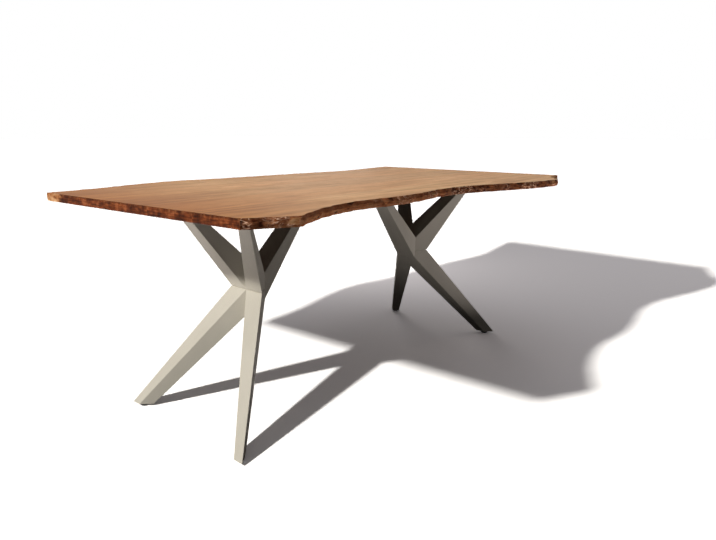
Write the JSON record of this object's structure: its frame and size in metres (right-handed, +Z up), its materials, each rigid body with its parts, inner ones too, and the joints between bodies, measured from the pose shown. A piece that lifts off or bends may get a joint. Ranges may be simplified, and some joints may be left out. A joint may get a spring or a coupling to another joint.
{
  "type": "live edge dining table",
  "caption": "Solid wood dining table with wavy live edges on two faceted steel pedestals, each with splayed legs and three arms that carry the top.",
  "frame": {"origin": "on the floor, under the middle of the tabletop", "axes": "+X along the tabletop's length, +Y from the front long edge to the back one, +Z up"},
  "size_m": [1.8496, 1.065, 0.73],
  "materials": {
    "wood": "oiled, satin",
    "champagne_paint": "satin powder coat",
    "zinc": "zinc plated",
    "brass": "plain",
    "black_plastic": "moulded, matt"
  },
  "bodies": {
    "root": {"board_back_live_edge": "wood", "board_front_live_edge": "wood", "board_inner_1": "wood", "board_inner_2": "wood", "board_inner_3": "wood", "left_back_arm": "champagne_paint", "left_back_foot_plug": "zinc", "left_back_glide_pad": "black_plastic", "left_back_glide_stem": "zinc", "left_back_insert_1": "brass", "left_back_insert_2": "brass", "left_back_leg": "champagne_paint", "left_back_plate": "champagne_paint", "left_back_screw_1": "zinc", "left_back_screw_2": "zinc", "left_front_arm": "champagne_paint", "left_front_foot_plug": "zinc", "left_front_glide_pad": "black_plastic", "left_front_glide_stem": "zinc", "left_front_insert_1": "brass", "left_front_insert_2": "brass", "left_front_leg": "champagne_paint", "left_front_plate": "champagne_paint", "left_front_screw_1": "zinc", "left_front_screw_2": "zinc", "left_inner_arm": "champagne_paint", "left_inner_insert_1": "brass", "left_inner_insert_2": "brass", "left_inner_plate": "champagne_paint", "left_inner_screw_1": "zinc", "left_inner_screw_2": "zinc", "right_back_arm": "champagne_paint", "right_back_foot_plug": "zinc", "right_back_glide_pad": "black_plastic", "right_back_glide_stem": "zinc", "right_back_insert_1": "brass", "right_back_insert_2": "brass", "right_back_leg": "champagne_paint", "right_back_plate": "champagne_paint", "right_back_screw_1": "zinc", "right_back_screw_2": "zinc", "right_front_arm": "champagne_paint", "right_front_foot_plug": "zinc", "right_front_glide_pad": "black_plastic", "right_front_glide_stem": "zinc", "right_front_insert_1": "brass", "right_front_insert_2": "brass", "right_front_leg": "champagne_paint", "right_front_plate": "champagne_paint", "right_front_screw_1": "zinc", "right_front_screw_2": "zinc", "right_inner_arm": "champagne_paint", "right_inner_insert_1": "brass", "right_inner_insert_2": "brass", "right_inner_plate": "champagne_paint", "right_inner_screw_1": "zinc", "right_inner_screw_2": "zinc"}
  },
  "joints": []
}
